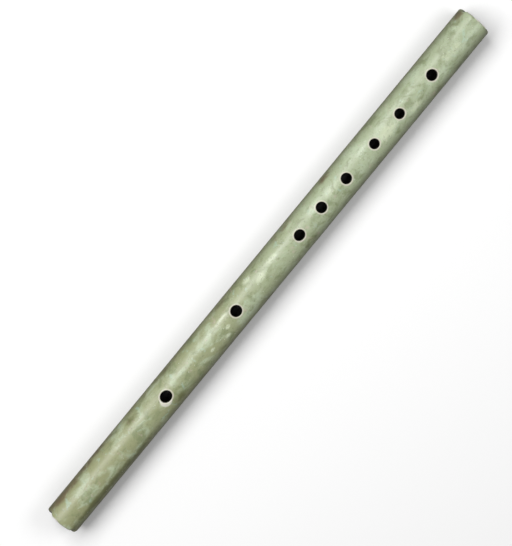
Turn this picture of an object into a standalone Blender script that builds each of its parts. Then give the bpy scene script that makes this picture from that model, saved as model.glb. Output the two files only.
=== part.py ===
"""Jade transverse flute: one drilled nephrite tube with a lapped and waxed plug that slides in its bore.

Metres, +Z up. The flute lies along X, head towards -X and foot towards +X, with its holes facing up.
It rests on Z = 0, and the origin is under the middle of its length.
"""

import math
from collections import namedtuple

import bmesh
import bpy
from mathutils import Matrix, Vector

# Tube
BORE_DIAMETER = 0.0180
WALL_THICKNESS = 0.0067
RIM_ROUNDING = 0.0016
BORE_MOUTH_CHAMFER = 0.0006
TUBE_SIDES = 32
RIM_STEPS = 5

# Hole row, measured along the tube from one hole's centre to the next
HEAD_TO_BLOW_HOLE = 0.1415
BLOW_HOLE_TO_MEMBRANE_HOLE = 0.0933
MEMBRANE_HOLE_TO_FINGERS = 0.0829
FINGER_SPACINGS = (0.0295, 0.0318, 0.0371, 0.0326, 0.0417)
LAST_FINGER_TO_FOOT = 0.0596

# Hole throats: length along the tube, width across it, and how far the hand-drilled row wanders
# round the tube, in degrees, with positive turns towards -Y
BLOW_HOLE = (0.0112, 0.0100)
BLOW_HOLE_TURN = -0.5
MEMBRANE_HOLE = (0.0104, 0.0099)
MEMBRANE_HOLE_TURN = -1.4
FINGER_HOLES = (
    (0.0102, 0.0092),
    (0.0097, 0.0096),
    (0.0096, 0.0095),
    (0.0090, 0.0089),
    (0.0091, 0.0088),
    (0.0099, 0.0096),
)
FINGER_HOLE_TURNS = (0.6, -1.6, 1.0, -0.3, 0.6, 1.6)
HOLE_EDGE_ROUNDING = 0.0008
HOLE_SIDES = 32
HOLE_EDGE_STEPS = 3

# Stopper: a turned wooden plug, a lapping of thread in its groove and a beeswax face
STOPPER_TO_BLOW_HOLE_EDGE = 0.0040
SLIDING_CLEARANCE = 0.0003
SEAT_GAP = 0.0003
WAX_THICKNESS = 0.0020
WAX_EDGE_CHAMFER = 0.0005
PLUG_LENGTH = 0.0220
PLUG_COLLAR_WIDTH = 0.0030
PLUG_COLLAR_CLEARANCE = 0.0006
PLUG_CHAMFER = 0.0008
GROOVE_DEPTH = 0.0018

# Colours, with roughness; nothing here is metal
JADE_COLOUR = (0.40, 0.45, 0.33, 1.0)
JADE_ROUGHNESS = 0.35
PLUG_COLOUR = (0.36, 0.20, 0.09, 1.0)
PLUG_ROUGHNESS = 0.6
THREAD_COLOUR = (0.52, 0.40, 0.24, 1.0)
THREAD_ROUGHNESS = 0.9
WAX_COLOUR = (0.62, 0.44, 0.16, 1.0)
WAX_ROUGHNESS = 0.45

BORE_RADIUS = BORE_DIAMETER / 2
OUTER_RADIUS = BORE_RADIUS + WALL_THICKNESS
AXIS_HEIGHT = OUTER_RADIUS
TUBE_LENGTH = (
    HEAD_TO_BLOW_HOLE
    + BLOW_HOLE_TO_MEMBRANE_HOLE
    + MEMBRANE_HOLE_TO_FINGERS
    + sum(FINGER_SPACINGS)
    + LAST_FINGER_TO_FOOT
)
HEAD_X = -TUBE_LENGTH / 2
FOOT_X = TUBE_LENGTH / 2
AXIS = Vector((0.0, 0.0, AXIS_HEIGHT))

Hole = namedtuple("Hole", "name from_head along across turn")


def hole_row():
    """The eight holes from head to foot, each with its distance from the head end."""
    blow = HEAD_TO_BLOW_HOLE
    membrane = blow + BLOW_HOLE_TO_MEMBRANE_HOLE
    holes = [
        Hole("blow_hole", blow, *BLOW_HOLE, BLOW_HOLE_TURN),
        Hole("membrane_hole", membrane, *MEMBRANE_HOLE, MEMBRANE_HOLE_TURN),
    ]
    place = membrane + MEMBRANE_HOLE_TO_FINGERS
    for number, size in enumerate(FINGER_HOLES):
        turn = FINGER_HOLE_TURNS[number]
        holes.append(Hole(f"finger_hole_{number + 1}", place, *size, turn))
        if number < len(FINGER_SPACINGS):
            place += FINGER_SPACINGS[number]
    return holes


def clear_scene():
    for item in list(bpy.data.objects):
        bpy.data.objects.remove(item, do_unlink=True)


def make_material(name, colour, roughness):
    material = bpy.data.materials.new(name)
    material.use_nodes = True
    shader = material.node_tree.nodes["Principled BSDF"]
    shader.inputs["Base Color"].default_value = colour
    shader.inputs["Roughness"].default_value = roughness
    shader.inputs["Metallic"].default_value = 0.0
    material.diffuse_color = colour
    return material


def add_object(name, mesh_data, material=None):
    mesh = bpy.data.meshes.new(name)
    mesh_data.to_mesh(mesh)
    mesh_data.free()
    item = bpy.data.objects.new(name, mesh)
    bpy.context.scene.collection.objects.link(item)
    if material is not None:
        mesh.materials.append(material)
        mesh.shade_smooth()
        mesh.set_sharp_from_angle(angle=math.radians(30))
    return item


def turned(name, profile, closed, material):
    """A solid turned about the bore from (x, radius) points, with its flats on the stated radius."""
    to_corner = 1 / math.cos(math.pi / TUBE_SIDES)
    start = Matrix.Rotation(math.pi / TUBE_SIDES, 4, "X")
    solid = bmesh.new()
    points = [
        solid.verts.new(start @ Vector((x, 0.0, radius * to_corner)))
        for x, radius in profile
    ]
    pairs = list(zip(points, points[1:]))
    if closed:
        pairs.append((points[-1], points[0]))
    edges = [solid.edges.new(pair) for pair in pairs]
    bmesh.ops.spin(
        solid,
        geom=points + edges,
        cent=(0.0, 0.0, 0.0),
        axis=(1.0, 0.0, 0.0),
        angle=2 * math.pi,
        steps=TUBE_SIDES,
        use_merge=True,
    )
    bmesh.ops.remove_doubles(solid, verts=solid.verts, dist=1e-6)
    bmesh.ops.recalc_face_normals(solid, faces=solid.faces)
    item = add_object(name, solid, material)
    item.location = AXIS
    return item


def rim_profile(end_x, inward):
    """(x, radius) points over one end of the tube, from its outer side round the rim to the bore."""
    rounding = min(RIM_ROUNDING, WALL_THICKNESS / 3)
    points = []
    for step in range(RIM_STEPS + 1):
        angle = math.pi / 2 * step / RIM_STEPS
        x = end_x + inward * rounding * (1 - math.sin(angle))
        radius = OUTER_RADIUS - rounding * (1 - math.cos(angle))
        points.append((x, radius))
    points.append((end_x, BORE_RADIUS + BORE_MOUTH_CHAMFER))
    points.append((end_x + inward * BORE_MOUTH_CHAMFER, BORE_RADIUS))
    return points


def make_tube(material):
    head = rim_profile(HEAD_X, 1)
    foot = rim_profile(FOOT_X, -1)
    return turned("jade_tube", head + foot[::-1], True, material)


def surface_height(y):
    """Height of the tube's outer side above its axis, at a distance y from the top line."""
    return math.sqrt(OUTER_RADIUS**2 - y**2)


def hole_cutter(hole):
    """A plug of the hole's shape, flared at the top so that it rounds the edge that it leaves."""
    cutter = bmesh.new()
    rings = [(0.0, None)]
    for step in range(HOLE_EDGE_STEPS + 1):
        angle = math.radians(75) * step / HOLE_EDGE_STEPS
        widening = HOLE_EDGE_ROUNDING * (1 - math.cos(angle))
        depth = HOLE_EDGE_ROUNDING * (1 - math.sin(angle))
        rings.append((widening, depth))
    last_widening, last_depth = rings[-1]
    slope = math.tan(math.radians(75))
    reach = HOLE_EDGE_ROUNDING / 2
    rings.append((last_widening + reach * slope, last_depth - reach))
    top_height = OUTER_RADIUS + 4 * HOLE_EDGE_ROUNDING
    loops = []
    for widening, depth in rings:
        loops.append([])
        for side in range(HOLE_SIDES):
            angle = 2 * math.pi * side / HOLE_SIDES
            x = (hole.along / 2 + widening) * math.cos(angle)
            y = (hole.across / 2 + widening) * math.sin(angle)
            z = 0.0 if depth is None else surface_height(y) - depth
            loops[-1].append(cutter.verts.new((x, y, z)))
    loops.append([cutter.verts.new((v.co.x, v.co.y, top_height)) for v in loops[-1]])
    for lower, upper in zip(loops, loops[1:]):
        for side in range(HOLE_SIDES):
            following = (side + 1) % HOLE_SIDES
            cutter.faces.new((lower[side], lower[following], upper[following], upper[side]))
    cutter.faces.new(loops[0][::-1])
    cutter.faces.new(loops[-1])
    bmesh.ops.recalc_face_normals(cutter, faces=cutter.faces)
    item = add_object(f"cutter_{hole.name}", cutter)
    item.location = AXIS + Vector((HEAD_X + hole.from_head, 0.0, 0.0))
    item.rotation_euler = (math.radians(hole.turn), 0.0, 0.0)
    item.hide_render = True
    item.display_type = "WIRE"
    return item


def drill(tube, hole):
    cut = tube.modifiers.new(hole.name, "BOOLEAN")
    cut.operation = "DIFFERENCE"
    cut.solver = "EXACT"
    cut.object = hole_cutter(hole)


def wax_profile(radius):
    """(x, radius) points of the beeswax disc, whose sounding face is at x = 0."""
    back = -WAX_THICKNESS
    return [
        (back, 0.0),
        (back, radius),
        (-WAX_EDGE_CHAMFER, radius),
        (0.0, radius - WAX_EDGE_CHAMFER),
        (0.0, 0.0),
    ]


def plug_profile(front, groove_radius):
    """(x, radius) points of the plug from back to front, with the groove between its two collars."""
    collar_radius = BORE_RADIUS - PLUG_COLLAR_CLEARANCE
    back = front - PLUG_LENGTH
    return [
        (back, 0.0),
        (back, collar_radius - PLUG_CHAMFER),
        (back + PLUG_CHAMFER, collar_radius),
        (back + PLUG_COLLAR_WIDTH, collar_radius),
        (back + PLUG_COLLAR_WIDTH, groove_radius),
        (front - PLUG_COLLAR_WIDTH, groove_radius),
        (front - PLUG_COLLAR_WIDTH, collar_radius),
        (front, collar_radius),
        (front, 0.0),
    ]


def lapping_profile(plug_front, groove_radius, radius):
    """(x, radius) points round the section of the thread wound into the plug's groove."""
    back = plug_front - PLUG_LENGTH + PLUG_COLLAR_WIDTH + SEAT_GAP
    front = plug_front - PLUG_COLLAR_WIDTH - SEAT_GAP
    inner = groove_radius + SEAT_GAP
    return [(back, inner), (back, radius), (front, radius), (front, inner)]


def make_stopper():
    """The plug, its thread and its wax, all moved by one empty on the bore's axis."""
    face_x = HEAD_X + HEAD_TO_BLOW_HOLE - BLOW_HOLE[0] / 2 - STOPPER_TO_BLOW_HOLE_EDGE
    carrier = bpy.data.objects.new("stopper_carrier", None)
    carrier.location = AXIS + Vector((face_x, 0.0, 0.0))
    bpy.context.scene.collection.objects.link(carrier)

    radius = BORE_RADIUS - SLIDING_CLEARANCE
    groove_radius = BORE_RADIUS - PLUG_COLLAR_CLEARANCE - GROOVE_DEPTH
    plug_front = -WAX_THICKNESS - SEAT_GAP
    wood = make_material("boxwood", PLUG_COLOUR, PLUG_ROUGHNESS)
    thread = make_material("waxed_thread", THREAD_COLOUR, THREAD_ROUGHNESS)
    wax = make_material("beeswax", WAX_COLOUR, WAX_ROUGHNESS)
    pieces = [
        turned("stopper_plug", plug_profile(plug_front, groove_radius), False, wood),
        turned("thread_lapping", lapping_profile(plug_front, groove_radius, radius), True, thread),
        turned("wax_seal", wax_profile(radius), False, wax),
    ]
    for piece in pieces:
        piece.parent = carrier
        piece.location = (0.0, 0.0, 0.0)


def main():
    clear_scene()
    tube = make_tube(make_material("jade", JADE_COLOUR, JADE_ROUGHNESS))
    for hole in hole_row():
        drill(tube, hole)
    make_stopper()


main()
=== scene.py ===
"""Looks of the jade flute: the stone tube, and the waxed stopper that slides in its bore."""

import math

import bpy
import numpy as np
from mathutils import Matrix, Vector, noise


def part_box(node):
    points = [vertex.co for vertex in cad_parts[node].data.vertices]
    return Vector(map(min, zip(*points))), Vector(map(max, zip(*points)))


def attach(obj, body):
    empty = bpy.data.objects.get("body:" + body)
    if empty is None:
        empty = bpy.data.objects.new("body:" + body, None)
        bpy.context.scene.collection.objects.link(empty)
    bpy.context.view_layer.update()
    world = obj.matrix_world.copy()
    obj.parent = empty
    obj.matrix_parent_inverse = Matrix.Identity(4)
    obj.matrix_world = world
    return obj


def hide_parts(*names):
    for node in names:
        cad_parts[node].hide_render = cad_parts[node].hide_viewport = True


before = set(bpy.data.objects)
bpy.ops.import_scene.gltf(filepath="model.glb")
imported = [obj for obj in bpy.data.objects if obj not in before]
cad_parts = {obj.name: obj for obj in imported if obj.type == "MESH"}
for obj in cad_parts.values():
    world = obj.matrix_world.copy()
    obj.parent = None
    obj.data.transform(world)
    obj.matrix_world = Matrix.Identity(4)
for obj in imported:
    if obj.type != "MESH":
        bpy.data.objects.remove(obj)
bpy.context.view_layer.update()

# Sizes that the frame gives, in metres
TUBE_LOW, TUBE_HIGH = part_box("jade_tube")
HEAD_X = TUBE_LOW.x
FOOT_X = TUBE_HIGH.x
OUTER_RADIUS = (TUBE_HIGH.z - TUBE_LOW.z) / 2
AXIS_HEIGHT = TUBE_LOW.z + OUTER_RADIUS

# The bore, the rims and the slight taper towards the head
BORE_RADIUS = 0.0090
RIM_ROUNDING = 0.0019
MOUTH_ROUNDING = 0.0007
HEAD_SLIMNESS = 0.00022
TAPER_START_X = 0.05
TAPER_POWER = 1.5

# Each hole: distance from the head end, length along the tube, width across it and turn towards -Y in degrees
HOLES = {
    "blow_hole": (0.1415, 0.0112, 0.0100, -0.5),
    "membrane_hole": (0.2348, 0.0104, 0.0099, -1.4),
    "finger_hole_1": (0.3177, 0.0102, 0.0092, 0.6),
    "finger_hole_2": (0.3472, 0.0097, 0.0096, -1.6),
    "finger_hole_3": (0.3790, 0.0096, 0.0095, 1.0),
    "finger_hole_4": (0.4161, 0.0090, 0.0089, -0.3),
    "finger_hole_5": (0.4487, 0.0091, 0.0088, 0.6),
    "finger_hole_6": (0.4904, 0.0099, 0.0096, 1.6),
}
HOLE_EDGE = 0.0007
HOLE_FOOT_EDGE = 0.0004

# Mesh counts and steps of the tube
AROUND = 96
OUTER_BLOCK = (18, 18)
INNER_BLOCK = (12, 24)
BLOCK_HALF_LENGTH = 0.0081
OUTER_STEP = 0.0020
INNER_STEP = 0.0040
RIM_STEP = 0.0009
RIM_STEP_COUNT = 7
RIM_ROUNDING_STEPS = 7
MOUTH_ROUNDING_STEPS = 3
END_FACE_RINGS = 4
PATCH_RINGS = 8
PATCH_CROWDING = 1.3
EDGE_STEPS = 6
FOOT_EDGE_STEPS = 3
WALL_STEPS = 5

# Chips at the ends: distance along X, turn from the top towards -Y in degrees, half length, half turn, depth
CHIPS = (
    (HEAD_X, 49, 0.0022, 6, 0.0016),
    (HEAD_X, -62, 0.0024, 14, 0.0020),
    (HEAD_X, 82, 0.0016, 8, 0.0010),
    (FOOT_X, -58, 0.0018, 9, 0.0014),
    (FOOT_X, 56, 0.0016, 7, 0.0015),
    (FOOT_X, 20, 0.0010, 5, 0.0006),
    (FOOT_X, -12, 0.0010, 4, 0.0005),
)
CHIP_SLANT = 0.6
WORN_LENGTH = 0.010
WORN_THICKNESS = 0.0050
RIM_UNEVENNESS = 0.00022
RIM_UNEVENNESS_SCALE = 900
RIM_UNEVEN_LENGTH = 0.0012

# Marks in the stone: distance along X, turn towards -Y in degrees, half length, half turn, strength
BROWN_MARKS = (
    (-0.255, -62, 0.022, 20, 1.0),
    (-0.228, -68, 0.020, 16, 0.7),
    (-0.205, -72, 0.030, 14, 0.6),
    (-0.115, -66, 0.030, 14, 0.5),
    (-0.045, -62, 0.014, 15, 0.5),
    (0.036, -60, 0.016, 14, 0.5),
    (0.092, -62, 0.010, 18, 0.8),
    (0.130, -64, 0.010, 12, 0.5),
    (0.268, -62, 0.007, 22, 0.9),
)
DARK_GREEN_MARKS = (
    (-0.235, 44, 0.050, 14, 1.0),
    (-0.190, 52, 0.040, 18, 0.7),
    (-0.262, 28, 0.016, 14, 0.3),
    (-0.125, 40, 0.012, 16, 0.8),
    (-0.168, -40, 0.012, 16, 0.6),
    (-0.075, 48, 0.020, 16, 0.5),
    (-0.030, 32, 0.008, 10, 0.5),
    (0.045, 45, 0.016, 16, 0.6),
    (0.010, -46, 0.014, 12, 0.35),
    (0.070, 40, 0.010, 12, 0.3),
    (0.176, 34, 0.008, 12, 0.35),
    (0.263, -42, 0.008, 14, 0.6),
    (0.215, -52, 0.014, 14, 0.4),
)
PALE_MARKS = (
    (-0.004, -9, 0.008, 14, 0.8),
    (-0.015, -40, 0.007, 10, 0.8),
    (0.013, -22, 0.009, 12, 0.8),
    (-0.078, 19, 0.003, 6, 1.0),
    (-0.060, 29, 0.003, 6, 1.0),
    (-0.055, 9, 0.003, 7, 0.9),
    (-0.054, -22, 0.010, 7, 0.8),
    (-0.110, 24, 0.020, 14, 0.35),
    (0.090, -8, 0.014, 16, 0.6),
    (0.155, 4, 0.014, 30, 0.8),
    (0.188, 26, 0.010, 14, 0.7),
    (0.240, 4, 0.018, 24, 0.6),
)
# Painted highlights where the rounded end rims catch the light, with the same columns as the marks above
RIM_HIGHLIGHT_MARKS = (
    (HEAD_X, -26, 0.0016, 17, 1.0),
    (HEAD_X, 14, 0.0012, 14, 0.6),
    (FOOT_X, 0, 0.0014, 20, 1.0),
    (FOOT_X, 36, 0.0014, 16, 1.0),
)
CRACK_MARKS = (
    (HEAD_X, 52, 0.0065, 2.6, 1.0),
    (HEAD_X, 49, 0.0016, 6, 0.9),
    (FOOT_X - 0.0012, -56, 0.0014, 10, 0.8),
)
PIT_MARKS = ((0.0534, 21.0, 0.0007, 2.6, 1.0),)

# Pale wear round each hole, and a wider painted highlight on the blowing hole's countersunk edge, towards the
# head and -Y, where that edge faces the light
LIP_WEAR_MIDDLE = 0.0002
LIP_WEAR_WIDTH = 0.0013
BLOW_HOLE_HIGHLIGHT_DIRECTION = (-0.75, -0.66)
BLOW_HOLE_HIGHLIGHT_SPREAD = 0.25
BLOW_HOLE_HIGHLIGHT_LEAST_WIDTH = 0.0004
BLOW_HOLE_HIGHLIGHT_MORE_WIDTH = 0.0022
BLOW_HOLE_HIGHLIGHT_GAIN = 1.6

# Wear along the rims, and painted shade that darkens the stone within the holes and the bore
RIM_WEAR_MIDDLE = 0.0003
RIM_WEAR_WIDTH = 0.0010
RIM_WEAR_DEPTH = 0.0018
RIM_WEAR_FADE = 0.001
BORE_SHADE_DEPTH = 0.0010
BORE_SHADE_FADE = 0.0015
END_FACE_SKIN = 0.0005

# Painted shade that darkens the flanks away from the top, in degrees of turn
FLANK_SHADE_MIDDLE = -4
FLANK_SHADE_START = 32
FLANK_SHADE_FADE = 52

# The stopper
STOPPER_SIDES = 72
SEAT_GAP = 0.0003
PLUG_CHAMFER = 0.0008
PLUG_EDGE_ROUNDING = 0.0004
GROOVE_DEPTH = 0.0018
THREAD_DIAMETER = 0.0009
THREAD_SIDES = 8
THREAD_PITCH = THREAD_DIAMETER * 1.01
THREAD_END_SINK = 0.0005
THREAD_END_TURNS = 0.25
STEPS_PER_TURN = 40
CORE_END_GAP = 0.0002
CORE_SINK = 0.0001
LAPPING_THICKNESS = 0.0018
WAX_EDGE_LENGTH = 0.0006
WAX_EDGE_HEIGHT = 0.0005
WAX_DISH_DEPTH = 0.0005
WAX_DISH_STEPS = 8
WAX_EDGE_ROUNDING = 0.0003
SHARP_ANGLE = math.radians(40)

# Colours
OLIVE = (0.295, 0.312, 0.162)
CELADON = (0.368, 0.428, 0.272)
PALE_CLOUD = (0.49, 0.575, 0.41)
MOSS = (0.20, 0.24, 0.115)
MINT = (0.40, 0.56, 0.45)
BLUSH = (0.50, 0.42, 0.34)
DARK_GREEN = (0.125, 0.135, 0.040)
BROWN = (0.165, 0.120, 0.055)
PALE_GREEN = (0.60, 0.66, 0.47)
DARK_GRAIN = (0.15, 0.17, 0.09)
FLECK = (0.66, 0.70, 0.58)
LIP_BEIGE = (0.60, 0.57, 0.48)
RIM_BEIGE = (0.66, 0.62, 0.56)
RIM_HIGHLIGHT_COLOUR = (0.86, 0.83, 0.78)
BLOW_HOLE_HIGHLIGHT_COLOUR = (0.72, 0.71, 0.62)
CRACK_BLACK = (0.035, 0.035, 0.015)
FLANK_SHADE_COLOUR = (0.30, 0.27, 0.17)
PIT_BROWN = (0.06, 0.055, 0.03)
BORE_SHADE_COLOUR = (0.020, 0.018, 0.014)
WOOD_LIGHT = (0.33, 0.19, 0.085)
WOOD_DARK = (0.24, 0.125, 0.05)
WOOD_GRAIN = (0.12, 0.06, 0.025)
THREAD_DARK = (0.46, 0.34, 0.19)
THREAD_LIGHT = (0.62, 0.50, 0.32)
THREAD_STAIN = (0.30, 0.20, 0.09)
WAX_DARK = (0.55, 0.35, 0.10)
WAX_LIGHT = (0.70, 0.52, 0.24)
WAX_SPECK = (0.20, 0.12, 0.05)
FLOOR_SEEN = (0.90, 0.90, 0.90)
FLOOR_BOUNCE = (0.30, 0.30, 0.30)
WHITE = (1.0, 1.0, 1.0)

# The photograph's frame: its height in pixels, the scale at the depth of the tube's axis and the tube's slope
PHOTO_HEIGHT = 546
METRES_PER_PIXEL = 0.0008464
TUBE_SLOPE_IN_PHOTO = math.radians(50.52)
SENSOR_WIDTH = 36.0
CAMERA_DISTANCE = 1.4
CAMERA_LEAN = math.radians(5.3)
CAMERA_SWING = math.radians(2.6)
CLIP_START = 0.05
AIM = Vector((-0.00563, 0.00656, AXIS_HEIGHT))

# The floor, the world's light on the part, and each softbox: centre, aim, size and power in watts
FLOOR_HALF_SIDE = 8.0
FLOOR_GAP = 0.0002
FLOOR_ROUGHNESS = 0.9
FLOOR_SPECULAR = 0.1
WORLD_STRENGTH = 0.30
WORLD_STRENGTH_SEEN = 1.0
SOFTBOXES = {
    "key": ((-0.15, 0.80, 1.25), (0, 0, 0), (1.5, 0.75), 22),
    "fill": ((0.75, -0.55, 1.1), (0.1, 0, 0), (0.8, 0.6), 5),
}


def around_axis(x, radius, angle):
    """Points at a turn about the tube's axis, counted from the top towards -Y."""
    across = -radius * np.sin(angle)
    up = AXIS_HEIGHT + radius * np.cos(angle)
    return np.stack([np.broadcast_to(x, np.shape(radius * angle)), across, up], axis=-1)


def even_turns(count):
    return 2 * math.pi * np.arange(count) / count


class Shell:
    """Vertices and faces gathered piece by piece."""

    def __init__(self):
        self.points = []
        self.faces = []

    def add(self, points):
        start = len(self.points)
        self.points.extend(np.asarray(points, float).reshape(-1, 3))
        return np.arange(start, len(self.points))

    def bridge(self, first, second):
        count = len(first)
        for i in range(count):
            j = (i + 1) % count
            self.faces.append((first[i], first[j], second[j], second[i]))

    def to_object(self, name):
        mesh = bpy.data.meshes.new(name)
        mesh.from_pydata(np.array(self.points).tolist(), [], [list(map(int, f)) for f in self.faces])
        mesh.validate()
        mesh.shade_smooth()
        item = bpy.data.objects.new(name, mesh)
        bpy.context.scene.collection.objects.link(item)
        return item


def hole_shape(hole):
    """A hole's place along X, its half length, its half width and its turn."""
    distance, length, width, turn = HOLES[hole]
    return HEAD_X + distance, length / 2, width / 2, math.radians(turn)


def spaced_columns(block_cells, step, first_x, last_x):
    """Places along the tube for rings of points: even steps at each hole and wider ones between holes."""
    columns = []
    blocks = {}
    last = first_x
    for hole in HOLES:
        centre = hole_shape(hole)[0]
        low = centre - BLOCK_HALF_LENGTH
        high = centre + BLOCK_HALF_LENGTH
        count = max(2, math.ceil((low - last) / step))
        columns.extend(np.linspace(last, low, count + 1)[:-1])
        blocks[hole] = len(columns)
        columns.extend(np.linspace(low, high, block_cells + 1)[:-1])
        last = high
    count = max(2, math.ceil((last_x - last) / step))
    columns.extend(np.linspace(last, last_x, count + 1))
    return columns, blocks


def block_border(first_column, block):
    """(column, turn) indices round a block's edge, from the middle of its foot side, towards -Y."""
    along, around = block
    half = around // 2
    end = first_column + along
    border = [(end, j) for j in range(half)]
    border += [(end - i, half) for i in range(along)]
    border += [(first_column, half - j) for j in range(around)]
    border += [(first_column + i, -half) for i in range(along)]
    border += [(end, -half + j) for j in range(half)]
    return border


def hole_ring(hole, widening, height):
    """A ring of points round a hole: the throat's outline, widened, at heights given by a function of y."""
    x, half_length, half_width, turn = hole_shape(hole)
    phi = even_turns(2 * sum(OUTER_BLOCK))
    along = (half_length + widening) * np.cos(phi)
    across = (half_width + widening) * np.sin(phi)
    up = height(across)
    c, s = math.cos(turn), math.sin(turn)
    return np.stack([x + along, -(across * c + up * s), AXIS_HEIGHT + up * c - across * s], axis=-1)


def drum(shell, rings, blocks, block, outward):
    """Quads between rings, with an open block at each hole. Returns the border of each block."""
    along, around = block
    skipped = set()
    for first in blocks.values():
        for i in range(along):
            for j in range(-(around // 2), around // 2):
                skipped.add((first + i, j % AROUND))
    for i in range(len(rings) - 1):
        for j in range(AROUND):
            if (i, j) in skipped:
                continue
            k = (j + 1) % AROUND
            face = (rings[i][j], rings[i][k], rings[i + 1][k], rings[i + 1][j])
            shell.faces.append(face if outward else face[::-1])
    borders = {}
    for hole, first in blocks.items():
        borders[hole] = np.array([rings[i][j % AROUND] for i, j in block_border(first, block)])
    return borders


def patch(shell, border, hole, widening, radius, outward):
    """Rings of quads from a block's border to the hole's widened outline, on a cylinder of that radius."""
    x, half_length, half_width, turn = hole_shape(hole)
    phi = even_turns(len(border))
    lip_x = x + (half_length + widening) * np.cos(phi)
    lip_turn = turn + np.arcsin((half_width + widening) * np.sin(phi) / radius)
    edge = np.array([shell.points[i] for i in border])
    edge_x = edge[:, 0]
    edge_up = edge[:, 2] - AXIS_HEIGHT
    edge_turn = np.arctan2(-edge[:, 1], edge_up)
    edge_radius = np.hypot(edge[:, 1], edge_up)
    previous = border
    for k in range(1, PATCH_RINGS + 1):
        share = 1 - (1 - k / PATCH_RINGS) ** PATCH_CROWDING
        ring = shell.add(
            around_axis(
                edge_x + share * (lip_x - edge_x),
                edge_radius + share * (radius - edge_radius),
                edge_turn + share * (lip_turn - edge_turn),
            )
        )
        if outward:
            shell.bridge(ring, previous)
        else:
            shell.bridge(previous, ring)
        previous = ring
    return previous


def outer_height(y):
    return np.sqrt(OUTER_RADIUS**2 - y**2)


def bore_height(y):
    return np.sqrt(BORE_RADIUS**2 - y**2)


def throat_height(y, share):
    """From the foot of the rounded lip to the top of the eased edge at the bore."""
    return (1 - share) * (outer_height(y) - HOLE_EDGE) + share * (bore_height(y) + HOLE_FOOT_EDGE)


def hole_wall(shell, top, bottom, hole):
    """The rounded lip, the throat and the eased edge at the bore, between the two patches."""
    rings = []
    for step in range(1, EDGE_STEPS + 1):
        angle = math.pi / 2 * step / EDGE_STEPS
        widening = HOLE_EDGE * (1 - math.sin(angle))
        depth = HOLE_EDGE * (1 - math.cos(angle))
        rings.append((widening, lambda y, d=depth: outer_height(y) - d))
    for step in range(1, WALL_STEPS):
        rings.append((0.0, lambda y, share=step / WALL_STEPS: throat_height(y, share)))
    for step in range(FOOT_EDGE_STEPS):
        angle = math.pi / 2 * step / FOOT_EDGE_STEPS
        widening = HOLE_FOOT_EDGE * (1 - math.cos(angle))
        rise = HOLE_FOOT_EDGE * (1 - math.sin(angle))
        rings.append((widening, lambda y, d=rise: bore_height(y) + d))
    previous = top
    for widening, height in rings:
        ring = shell.add(hole_ring(hole, widening, height))
        shell.bridge(ring, previous)
        previous = ring
    shell.bridge(bottom, previous)


def rounded_edge(end_x, inward, edge_radius, rounding, steps):
    """(x, radius) points round an end's edge. The rounding is positive outside and negative at the bore."""
    points = []
    for step in range(steps + 1):
        angle = math.pi / 2 * step / steps
        x = end_x + inward * abs(rounding) * (1 - math.sin(angle))
        points.append((x, edge_radius - rounding * (1 - math.cos(angle))))
    return points


def end_profile(end_x, inward):
    """(x, radius) points from the bore over the end face to the outside."""
    mouth = rounded_edge(end_x, inward, BORE_RADIUS, -MOUTH_ROUNDING, MOUTH_ROUNDING_STEPS)
    rim = rounded_edge(end_x, inward, outer_radius_at(end_x), RIM_ROUNDING, RIM_ROUNDING_STEPS)
    radii = np.linspace(BORE_RADIUS + MOUTH_ROUNDING, OUTER_RADIUS - RIM_ROUNDING, END_FACE_RINGS + 2)[1:-1]
    return mouth + [(end_x, r) for r in radii] + rim[::-1]


def outer_radius_at(x):
    """The tube is a little slimmer towards its head end."""
    toward_head = max(0.0, (TAPER_START_X - x) / (TAPER_START_X - HEAD_X))
    return OUTER_RADIUS - HEAD_SLIMNESS * toward_head**TAPER_POWER


def add_outside(shell):
    """The end faces, rims and outside. Returns their rings and the border of the opening at each hole."""
    near_head = [HEAD_X + RIM_ROUNDING + k * RIM_STEP for k in range(1, RIM_STEP_COUNT)]
    near_foot = [FOOT_X - RIM_ROUNDING - k * RIM_STEP for k in range(RIM_STEP_COUNT - 1, 0, -1)]
    near_length = RIM_ROUNDING + RIM_STEP_COUNT * RIM_STEP
    columns, blocks = spaced_columns(OUTER_BLOCK[0], OUTER_STEP, HEAD_X + near_length, FOOT_X - near_length)
    head = end_profile(HEAD_X, 1)
    foot = end_profile(FOOT_X, -1)[::-1]
    side = [(x, outer_radius_at(x)) for x in near_head + list(columns) + near_foot]
    offset = len(head) + len(near_head)
    turns = even_turns(AROUND)
    rings = [shell.add(around_axis(x, radius, turns)) for x, radius in head + side + foot]
    blocks = {hole: first + offset for hole, first in blocks.items()}
    return rings, drum(shell, rings, blocks, OUTER_BLOCK, True)


def add_bore(shell, head_ring, foot_ring):
    """The bore between the two mouths. Returns the border of the opening at each hole."""
    columns, blocks = spaced_columns(
        INNER_BLOCK[0], INNER_STEP, HEAD_X + MOUTH_ROUNDING, FOOT_X - MOUTH_ROUNDING
    )
    turns = even_turns(AROUND)
    rings = [shell.add(around_axis(x, BORE_RADIUS, turns)) for x in columns[1:-1]]
    return drum(shell, [head_ring] + rings + [foot_ring], blocks, INNER_BLOCK, False)


def make_tube():
    shell = Shell()
    rings, outer_borders = add_outside(shell)
    inner_borders = add_bore(shell, rings[0], rings[-1])
    for hole in HOLES:
        top = patch(shell, outer_borders[hole], hole, HOLE_EDGE, OUTER_RADIUS, True)
        bottom = patch(shell, inner_borders[hole], hole, HOLE_FOOT_EDGE, BORE_RADIUS, False)
        hole_wall(shell, top, bottom, hole)
    return shell.to_object("jade_tube_stone")


def smooth_bump(distance):
    """1 at the middle, falling smoothly to nothing."""
    return np.exp(-np.square(distance))


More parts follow.
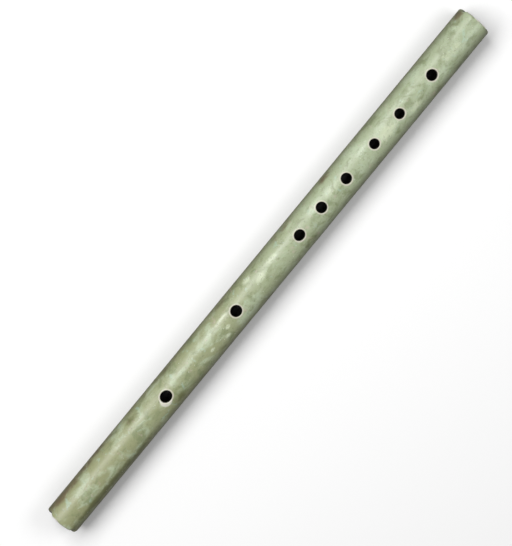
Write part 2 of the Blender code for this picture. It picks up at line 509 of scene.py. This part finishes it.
def wear_ends(tube):
    """Presses the chips into the rims, and makes the rims a little uneven; nothing moves outwards."""
    for vertex in tube.data.vertices:
        x, across, up = vertex.co.x, vertex.co.y, vertex.co.z - AXIS_HEIGHT
        radius = math.hypot(across, up)
        from_end = min(x - HEAD_X, FOOT_X - x)
        if radius < OUTER_RADIUS - WORN_THICKNESS or from_end > WORN_LENGTH:
            continue
        turn = math.degrees(math.atan2(-across, up))
        depth = sum(
            deep * smooth_bump((x - place) / length) * smooth_bump((turn - angle) / half_turn)
            for place, angle, length, half_turn, deep in CHIPS
        )
        wander = 1 + noise.noise(Vector((x, across, up)) * RIM_UNEVENNESS_SCALE)
        uneven = RIM_UNEVENNESS * wander * smooth_bump(from_end / RIM_UNEVEN_LENGTH)
        inward = (depth + uneven) / radius
        vertex.co.y -= across * inward
        vertex.co.z -= up * inward
        vertex.co.x -= math.copysign(CHIP_SLANT * depth + uneven, x)


def marks_at(x, turn, marks):
    total = np.zeros(len(x))
    for place, angle, half_length, half_turn, strength in marks:
        bump = smooth_bump((x - place) / half_length) * smooth_bump((turn - angle) / half_turn)
        total = np.maximum(total, strength * bump)
    return total


def hole_wear(x, across, up):
    """How worn the stone is round the holes, and how much painted highlight the blowing hole's countersunk
    edge gets.
    """
    lip = np.zeros(len(x))
    blow_hole_highlight = np.zeros(len(x))
    on_top = up > 0
    for hole in HOLES:
        centre, half_length, half_width, angle = hole_shape(hole)
        along = x - centre
        side = across * math.cos(angle) + up * math.sin(angle)
        beyond = (np.hypot(along / half_length, side / half_width) - 1) * half_width
        edge = smooth_bump((beyond - LIP_WEAR_MIDDLE) / LIP_WEAR_WIDTH)
        lip = np.maximum(lip, np.where(on_top, edge, 0.0))
        # Painted highlight: the blowing hole's countersunk edge, pale on the side that faces the light
        if hole == "blow_hole":
            distance = np.maximum(np.hypot(along, side), half_width / 2)
            towards = (along * BLOW_HOLE_HIGHLIGHT_DIRECTION[0] + side * BLOW_HOLE_HIGHLIGHT_DIRECTION[1]) / distance
            share = np.clip(towards - BLOW_HOLE_HIGHLIGHT_SPREAD, 0, 1) / (1 - BLOW_HOLE_HIGHLIGHT_SPREAD)
            width = BLOW_HOLE_HIGHLIGHT_LEAST_WIDTH + BLOW_HOLE_HIGHLIGHT_MORE_WIDTH * share
            blow_hole_highlight = np.where(on_top & (beyond > 0), smooth_bump(beyond / width) * share, 0.0)
    return lip, np.clip(BLOW_HOLE_HIGHLIGHT_GAIN * blow_hole_highlight, 0, 1)


def paint_tube(tube):
    """Writes what the stone's material needs to know at each point of the mesh."""
    points = np.zeros(len(tube.data.vertices) * 3, np.float32)
    tube.data.vertices.foreach_get("co", points)
    points = points.reshape(-1, 3).astype(float)
    x = points[:, 0]
    across = points[:, 1]
    up = points[:, 2] - AXIS_HEIGHT
    turn = np.degrees(np.arctan2(-across, up))
    depth = OUTER_RADIUS - np.hypot(across, up)
    from_end = np.minimum(x - HEAD_X, FOOT_X - x)
    lip, blow_hole_highlight = hole_wear(x, across, up)
    on_rim = np.clip(1 - (depth - RIM_WEAR_DEPTH) / RIM_WEAR_FADE, 0, 1)
    behind_end_face = np.abs(x) < FOOT_X - END_FACE_SKIN
    values = {
        "lip": lip,
        "blow_hole_highlight": blow_hole_highlight,
        # Painted shade: dark within the holes and the bore
        "bore_shade": np.clip((depth - BORE_SHADE_DEPTH) / BORE_SHADE_FADE, 0, 1) * behind_end_face,
        "rim": smooth_bump((from_end - RIM_WEAR_MIDDLE) / RIM_WEAR_WIDTH) * on_rim,
        # Painted shade: how far a point lies down the flanks, away from the lit top
        "flank_shade": np.clip((np.abs(turn - FLANK_SHADE_MIDDLE) - FLANK_SHADE_START) / FLANK_SHADE_FADE, 0, 1),
        "brown": marks_at(x, turn, BROWN_MARKS),
        "dark_green": marks_at(x, turn, DARK_GREEN_MARKS),
        "pale": marks_at(x, turn, PALE_MARKS),
        "rim_highlight": marks_at(x, turn, RIM_HIGHLIGHT_MARKS),
        "crack": marks_at(x, turn, CRACK_MARKS),
        "pit": marks_at(x, turn, PIT_MARKS),
    }
    for name, value in values.items():
        layer = tube.data.attributes.new(name, "FLOAT", "POINT")
        layer.data.foreach_set("value", value.astype(np.float32))


class Material:
    """A Principled material and short ways to add nodes to it."""

    def __init__(self, name):
        self.material = bpy.data.materials.new(name)
        self.material.use_nodes = True
        self.nodes = self.material.node_tree.nodes
        self.links = self.material.node_tree.links
        self.shader = self.nodes["Principled BSDF"]
        self.place = self.nodes.new("ShaderNodeTexCoord").outputs["Object"]

    def feed(self, socket, value):
        if isinstance(value, bpy.types.NodeSocket):
            self.links.new(value, socket)
        else:
            socket.default_value = value

    def texture(self, kind, output, stretch, **settings):
        """A texture over the object's own coordinates, stretched along the axes."""
        mapping = self.nodes.new("ShaderNodeMapping")
        self.feed(mapping.inputs["Vector"], self.place)
        mapping.inputs["Scale"].default_value = stretch
        node = self.nodes.new(kind)
        self.feed(node.inputs["Vector"], mapping.outputs["Vector"])
        for name, value in settings.items():
            node.inputs[name].default_value = value
        return node.outputs[output]

    def noise(self, scale, detail, roughness=0.5, distortion=0.0, stretch=(1, 1, 1)):
        return self.texture(
            "ShaderNodeTexNoise",
            "Fac",
            stretch,
            Scale=scale,
            Detail=detail,
            Roughness=roughness,
            Distortion=distortion,
        )

    def cells(self, scale):
        return self.texture("ShaderNodeTexVoronoi", "Distance", (1, 1, 1), Scale=scale)

    def wave(self, scale, distortion, detail, stretch):
        return self.texture(
            "ShaderNodeTexWave", "Fac", stretch, Scale=scale, Distortion=distortion, Detail=detail
        )

    def value(self, name):
        """What paint_tube wrote under that name."""
        node = self.nodes.new("ShaderNodeAttribute")
        node.attribute_name = name
        return node.outputs["Fac"]

    def along_x(self):
        node = self.nodes.new("ShaderNodeSeparateXYZ")
        self.feed(node.inputs[0], self.place)
        return node.outputs["X"]

    def calculate(self, operation, *values):
        node = self.nodes.new("ShaderNodeMath")
        node.operation = operation
        for socket, value in zip(node.inputs, values):
            self.feed(socket, value)
        return node.outputs[0]

    def roughened(self, value, roughness, gain):
        """A value with an uneven edge."""
        return self.calculate("MULTIPLY_ADD", roughness, gain, value)

    def between(self, value, low, high, start=0.0, end=1.0):
        """Goes smoothly from start to end while the value goes from low to high."""
        node = self.nodes.new("ShaderNodeMapRange")
        node.interpolation_type = "SMOOTHSTEP"
        for socket, number in zip(node.inputs, (value, low, high, start, end)):
            self.feed(socket, number)
        return node.outputs[0]

    def mix(self, share, a, b, blend="MIX"):
        node = self.nodes.new("ShaderNodeMix")
        node.data_type = "RGBA"
        node.blend_type = blend
        self.feed(node.inputs["Factor"], share)
        for socket, colour in ((node.inputs[6], a), (node.inputs[7], b)):
            self.feed(socket, colour if isinstance(colour, bpy.types.NodeSocket) else (*colour, 1.0))
        return node.outputs[2]

    def bump(self, height, distance, strength, below=None):
        node = self.nodes.new("ShaderNodeBump")
        node.inputs["Strength"].default_value = strength
        node.inputs["Distance"].default_value = distance
        self.feed(node.inputs["Height"], height)
        if below is not None:
            self.feed(node.inputs["Normal"], below)
        return node.outputs["Normal"]

    def finish(self, colour, roughness, normal, **constants):
        self.feed(self.shader.inputs["Base Color"], colour)
        self.feed(self.shader.inputs["Roughness"], roughness)
        self.feed(self.shader.inputs["Normal"], normal)
        for name, value in constants.items():
            self.shader.inputs[name.replace("_", " ")].default_value = value
        return self.material


def jade():
    """Nephrite: olive at the head, celadon towards the foot, mottled, with pale worn edges; painted shade
    darkens the flanks and the bore, and painted highlights brighten the blowing hole's countersunk edge and
    spots on the end rims.
    """
    m = Material("jade")
    drift = m.calculate("SUBTRACT", m.noise(scale=16, detail=2), 0.5)
    place = m.calculate("MULTIPLY_ADD", drift, 0.28, m.along_x())
    colour = m.mix(m.between(place, -0.20, 0.10), OLIVE, CELADON)

    clouds = m.noise(scale=95, detail=4, roughness=0.55, distortion=0.4, stretch=(0.55, 1, 1))
    colour = m.mix(m.between(clouds, 0.48, 0.68, end=0.62), colour, PALE_CLOUD)
    shade = m.noise(scale=120, detail=5, roughness=0.6, distortion=0.6, stretch=(0.6, 1, 1))
    colour = m.mix(m.between(shade, 0.50, 0.68, end=0.72), colour, MOSS)
    mint = m.noise(scale=150, detail=3, distortion=0.8)
    colour = m.mix(m.between(mint, 0.60, 0.74, end=0.5), colour, MINT)
    blush = m.noise(scale=170, detail=3, distortion=0.5, stretch=(1.1, 1, 1))
    colour = m.mix(m.between(blush, 0.62, 0.75, end=0.5), colour, BLUSH)

    ragged = m.calculate("SUBTRACT", m.noise(scale=140, detail=4, roughness=0.65, distortion=0.5), 0.5)
    for name, mark_colour, strength in (
        ("dark_green", DARK_GREEN, 0.85),
        ("brown", BROWN, 0.85),
        ("pale", PALE_GREEN, 0.8),
    ):
        mark = m.roughened(m.value(name), ragged, 1.1)
        colour = m.mix(m.between(mark, 0.25, 0.85, end=strength), colour, mark_colour)

    grain = m.noise(scale=620, detail=3, roughness=0.6)
    colour = m.mix(m.between(grain, 0.54, 0.70, end=0.42), colour, DARK_GRAIN)
    fleck = m.between(m.cells(scale=420), 0.20, 0.08)
    where = m.between(m.noise(scale=130, detail=2), 0.52, 0.66)
    flecks = m.calculate("MULTIPLY", m.calculate("MULTIPLY", fleck, where), 0.8)
    colour = m.mix(flecks, colour, FLECK)

    lip = m.roughened(m.value("lip"), ragged, 0.9)
    colour = m.mix(m.between(lip, 0.30, 0.95, end=0.8), colour, LIP_BEIGE)
    rim = m.roughened(m.value("rim"), ragged, 1.2)
    colour = m.mix(m.between(rim, 0.35, 0.95, end=0.9), colour, RIM_BEIGE)
    # Painted highlight: bright spots on the rounded end rims
    colour = m.mix(m.between(m.value("rim_highlight"), 0.2, 0.7, end=0.85), colour, RIM_HIGHLIGHT_COLOUR)
    # Painted highlight on the lit side of the blowing hole's countersunk edge
    colour = m.mix(m.between(m.value("blow_hole_highlight"), 0.15, 0.6, end=0.75), colour, BLOW_HOLE_HIGHLIGHT_COLOUR)
    colour = m.mix(m.between(m.value("crack"), 0.25, 0.8, end=0.9), colour, CRACK_BLACK)
    # Painted shade: the flanks are darkened in the colour, as the light falls off round the tube
    flank_shade_share = m.roughened(m.value("flank_shade"), ragged, 0.35)
    colour = m.mix(m.between(flank_shade_share, 0.0, 1.0, end=0.85), colour, FLANK_SHADE_COLOUR, "MULTIPLY")
    colour = m.mix(m.between(m.value("pit"), 0.2, 0.6, end=0.85), colour, PIT_BROWN)
    # Painted shade: the holes' walls and the bore painted near black
    colour = m.mix(m.value("bore_shade"), colour, BORE_SHADE_COLOUR)

    gloss = m.noise(scale=60, detail=4, roughness=0.6)
    hand_worked = m.noise(scale=45, detail=2, stretch=(0.6, 1, 1))
    waves = m.bump(hand_worked, distance=0.0012, strength=0.35)
    return m.finish(
        colour,
        m.between(gloss, 0.3, 0.7, start=0.36, end=0.49),
        m.bump(grain, distance=0.00025, strength=0.25, below=waves),
        Subsurface_Weight=0.2,
        Subsurface_Radius=(0.0012, 0.0016, 0.0009),
        Subsurface_Scale=1.0,
        IOR=1.62,
    )


def boxwood():
    m = Material("boxwood")
    rings = m.wave(scale=260, distortion=3.0, detail=3.0, stretch=(0.06, 1, 1))
    grain = m.noise(scale=900, detail=4, roughness=0.6, stretch=(0.05, 1, 1))
    colour = m.mix(m.between(rings, 0.2, 0.9), WOOD_LIGHT, WOOD_DARK)
    colour = m.mix(m.between(grain, 0.5, 0.75, end=0.6), colour, WOOD_GRAIN)
    roughness = m.between(grain, 0.3, 0.7, start=0.42, end=0.62)
    return m.finish(colour, roughness, m.bump(grain, distance=0.0002, strength=0.5))


def waxed_thread():
    m = Material("waxed_thread")
    fibres = m.noise(scale=2600, detail=3, roughness=0.6, stretch=(1, 0.25, 0.25))
    stain = m.noise(scale=260, detail=3, roughness=0.6)
    colour = m.mix(m.between(fibres, 0.35, 0.7), THREAD_DARK, THREAD_LIGHT)
    colour = m.mix(m.between(stain, 0.5, 0.75, end=0.5), colour, THREAD_STAIN)
    roughness = m.between(stain, 0.3, 0.7, start=0.6, end=0.85)
    return m.finish(colour, roughness, m.bump(fibres, distance=0.0001, strength=0.6))


def beeswax():
    m = Material("beeswax")
    clouds = m.noise(scale=230, detail=4, roughness=0.6, distortion=0.5)
    specks = m.noise(scale=1500, detail=2, roughness=0.6)
    colour = m.mix(m.between(clouds, 0.3, 0.75), WAX_DARK, WAX_LIGHT)
    colour = m.mix(m.between(specks, 0.66, 0.74, end=0.7), colour, WAX_SPECK)
    return m.finish(
        colour,
        m.between(clouds, 0.3, 0.7, start=0.38, end=0.55),
        m.bump(clouds, distance=0.0006, strength=0.5),
        Subsurface_Weight=0.3,
        Subsurface_Radius=(0.002, 0.0012, 0.0005),
        Subsurface_Scale=1.0,
    )


def turned(name, profile):
    """A closed solid turned about the bore from (x, radius) points that start and end on its axis."""
    shell = Shell()
    turns = even_turns(STOPPER_SIDES)
    first = shell.add([(profile[0][0], 0.0, AXIS_HEIGHT)])[0]
    rings = [shell.add(around_axis(x, radius, turns)) for x, radius in profile[1:-1]]
    last = shell.add([(profile[-1][0], 0.0, AXIS_HEIGHT)])[0]
    for a, b in zip(rings, rings[1:]):
        shell.bridge(a, b)
    for i in range(STOPPER_SIDES):
        j = (i + 1) % STOPPER_SIDES
        shell.faces.append((first, rings[0][j], rings[0][i]))
        shell.faces.append((last, rings[-1][i], rings[-1][j]))
    item = shell.to_object(name)
    item.data.set_sharp_from_angle(angle=SHARP_ANGLE)
    return item


def softened(points, rounding, steps):
    """The same outline with each inner corner turned into a short curve."""
    longest_share = 0.4
    result = [points[0]]
    for before, corner, after in zip(points, points[1:], points[2:]):
        middle = Vector(corner)
        to_before = Vector(before) - middle
        to_after = Vector(after) - middle
        start = middle + to_before.normalized() * min(rounding, to_before.length * longest_share)
        end = middle + to_after.normalized() * min(rounding, to_after.length * longest_share)
        for step in range(steps + 1):
            share = step / steps
            point = start.lerp(middle, share).lerp(middle.lerp(end, share), share)
            result.append((point.x, point.y))
    result.append(points[-1])
    return result


def make_plug():
    low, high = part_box("stopper_plug")
    lapping_low, lapping_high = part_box("thread_lapping")
    radius = (high.z - low.z) / 2
    groove_low = lapping_low.x - SEAT_GAP
    groove_high = lapping_high.x + SEAT_GAP
    groove_radius = radius - GROOVE_DEPTH
    outline = [
        (low.x, 0.0),
        (low.x, radius - PLUG_CHAMFER),
        (low.x + PLUG_CHAMFER, radius),
        (groove_low, radius),
        (groove_low, groove_radius),
        (groove_high, groove_radius),
        (groove_high, radius),
        (high.x, radius),
        (high.x, 0.0),
    ]
    return turned("stopper_plug_turned", softened(outline, PLUG_EDGE_ROUNDING, 4))


def add_winding(shell, low, high, radius):
    """The outer layer of thread: one unbroken helix whose two ends are tucked in."""
    half = THREAD_DIAMETER / 2
    run = high.x - low.x - THREAD_DIAMETER
    turn_count = int(run / THREAD_PITCH)
    steps = turn_count * STEPS_PER_TURN
    section = even_turns(THREAD_SIDES)
    rings = []
    for step in range(steps + 1):
        share = step / steps
        turns_from_end = min(share, 1 - share) * turn_count
        sink = THREAD_END_SINK * smooth_bump(turns_from_end / THREAD_END_TURNS)
        x = low.x + half + run * share + half * np.sin(section)
        angle = np.full(THREAD_SIDES, 2 * math.pi * turn_count * share)
        rings.append(shell.add(around_axis(x, radius - sink + half * np.cos(section), angle)))
    shell.faces.append(tuple(rings[0]))
    for previous, ring in zip(rings, rings[1:]):
        shell.bridge(ring, previous)
    shell.faces.append(tuple(rings[-1][::-1]))


def add_core(shell, low, high, radius):
    """The layers beneath, as one sleeve that the outer layer lies on."""
    outer = radius - CORE_SINK
    inner = radius + THREAD_DIAMETER / 2 - LAPPING_THICKNESS
    start = low.x + CORE_END_GAP
    end = high.x - CORE_END_GAP
    turns = even_turns(STOPPER_SIDES)
    profile = ((start, inner), (start, outer), (end, outer), (end, inner))
    rings = [shell.add(around_axis(x, r, turns)) for x, r in profile]
    for a, b in zip(rings, rings[1:] + rings[:1]):
        shell.bridge(a, b)


def make_lapping():
    low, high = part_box("thread_lapping")
    radius = (high.z - low.z) / 2 - THREAD_DIAMETER / 2
    shell = Shell()
    add_winding(shell, low, high, radius)
    add_core(shell, low, high, radius)
    return shell.to_object("thread_lapping_turns")


def make_wax():
    """A disc of wax whose sounding face is pressed slightly hollow."""
    low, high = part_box("wax_seal")
    radius = (high.z - low.z) / 2
    outline = [
        (low.x, 0.0),
        (low.x, radius),
        (high.x - WAX_EDGE_LENGTH, radius),
        (high.x, radius - WAX_EDGE_HEIGHT),
    ]
    for step in range(1, WAX_DISH_STEPS):
        share = 1 - math.cos(math.pi / 2 * step / (WAX_DISH_STEPS - 1))
        outline.append((high.x - WAX_DISH_DEPTH / 2 * share, radius * (1 - step / WAX_DISH_STEPS)))
    outline.append((high.x - WAX_DISH_DEPTH, 0.0))
    return turned("wax_seal_face", softened(outline, WAX_EDGE_ROUNDING, 2))


def add_camera():
    """The photograph's camera: above the tube, leaning a little towards the foot and +Y."""
    data = bpy.data.cameras.new("camera")
    data.sensor_width = SENSOR_WIDTH
    data.lens = SENSOR_WIDTH * CAMERA_DISTANCE / METRES_PER_PIXEL / PHOTO_HEIGHT
    data.clip_start = CLIP_START
    camera = bpy.data.objects.new("camera", data)
    bpy.context.scene.collection.objects.link(camera)
    back = Vector((math.tan(CAMERA_SWING), math.tan(CAMERA_LEAN), 1.0)).normalized()
    along = Vector((1.0, 0.0, 0.0))
    along = (along - back * along.dot(back)).normalized()
    across = back.cross(along)
    c, s = math.cos(TUBE_SLOPE_IN_PHOTO), math.sin(TUBE_SLOPE_IN_PHOTO)
    right = along * c - across * s
    up = along * s + across * c
    turn = Matrix((right, up, back)).transposed().to_4x4()
    camera.matrix_world = Matrix.Translation(AIM + back * CAMERA_DISTANCE) @ turn
    bpy.context.scene.camera = camera


def add_softbox(name, centre, target, size, power):
    data = bpy.data.lights.new(name, "AREA")
    data.shape = "RECTANGLE"
    data.size, data.size_y = size
    data.energy = power
    lamp = bpy.data.objects.new(name, data)
    lamp.location = centre
    lamp.rotation_euler = (Vector(target) - Vector(centre)).to_track_quat("-Z", "Y").to_euler()
    bpy.context.scene.collection.objects.link(lamp)


def seen_by_camera(nodes):
    """1 for what the camera sees directly, 0 for light that bounces."""
    return nodes.new("ShaderNodeLightPath").outputs["Is Camera Ray"]


def add_floor():
    """A pale floor to the camera, and a darker one to the light that it throws back at the part."""
    side = FLOOR_HALF_SIDE
    mesh = bpy.data.meshes.new("floor")
    mesh.from_pydata(
        [(-side, -side, 0), (side, -side, 0), (side, side, 0), (-side, side, 0)], [], [(0, 1, 2, 3)]
    )
    floor = bpy.data.objects.new("floor", mesh)
    floor.location.z = TUBE_LOW.z - FLOOR_GAP
    bpy.context.scene.collection.objects.link(floor)
    material = bpy.data.materials.new("floor")
    material.use_nodes = True
    nodes, links = material.node_tree.nodes, material.node_tree.links
    seen = nodes["Principled BSDF"]
    seen.inputs["Base Color"].default_value = (*FLOOR_SEEN, 1.0)
    seen.inputs["Roughness"].default_value = FLOOR_ROUGHNESS
    seen.inputs["Specular IOR Level"].default_value = FLOOR_SPECULAR
    dim = nodes.new("ShaderNodeBsdfDiffuse")
    dim.inputs["Color"].default_value = (*FLOOR_BOUNCE, 1.0)
    shown = nodes.new("ShaderNodeMixShader")
    links.new(seen_by_camera(nodes), shown.inputs["Fac"])
    links.new(dim.outputs[0], shown.inputs[1])
    links.new(seen.outputs[0], shown.inputs[2])
    links.new(shown.outputs[0], nodes["Material Output"].inputs["Surface"])
    floor.data.materials.append(material)


def add_world():
    world = bpy.data.worlds.new("world")
    world.use_nodes = True
    nodes, links = world.node_tree.nodes, world.node_tree.links
    background = nodes["Background"]
    background.inputs["Color"].default_value = (*WHITE, 1.0)
    strength = nodes.new("ShaderNodeMapRange")
    links.new(seen_by_camera(nodes), strength.inputs["Value"])
    strength.inputs["To Min"].default_value = WORLD_STRENGTH
    strength.inputs["To Max"].default_value = WORLD_STRENGTH_SEEN
    links.new(strength.outputs[0], background.inputs["Strength"])
    bpy.context.scene.world = world


bpy.context.scene.view_settings.view_transform = "Standard"
add_camera()
add_floor()
add_world()
for name, softbox in SOFTBOXES.items():
    add_softbox(name, *softbox)

tube = make_tube()
wear_ends(tube)
paint_tube(tube)
tube.data.materials.append(jade())
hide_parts("jade_tube")
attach(tube, "tube")

for piece, node, slot, material in (
    (make_plug(), "stopper_plug", "boxwood", boxwood()),
    (make_lapping(), "thread_lapping", "waxed_thread", waxed_thread()),
    (make_wax(), "wax_seal", "beeswax", beeswax()),
):
    piece.data.materials.append(material)
    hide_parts(node)
    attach(piece, "stopper")
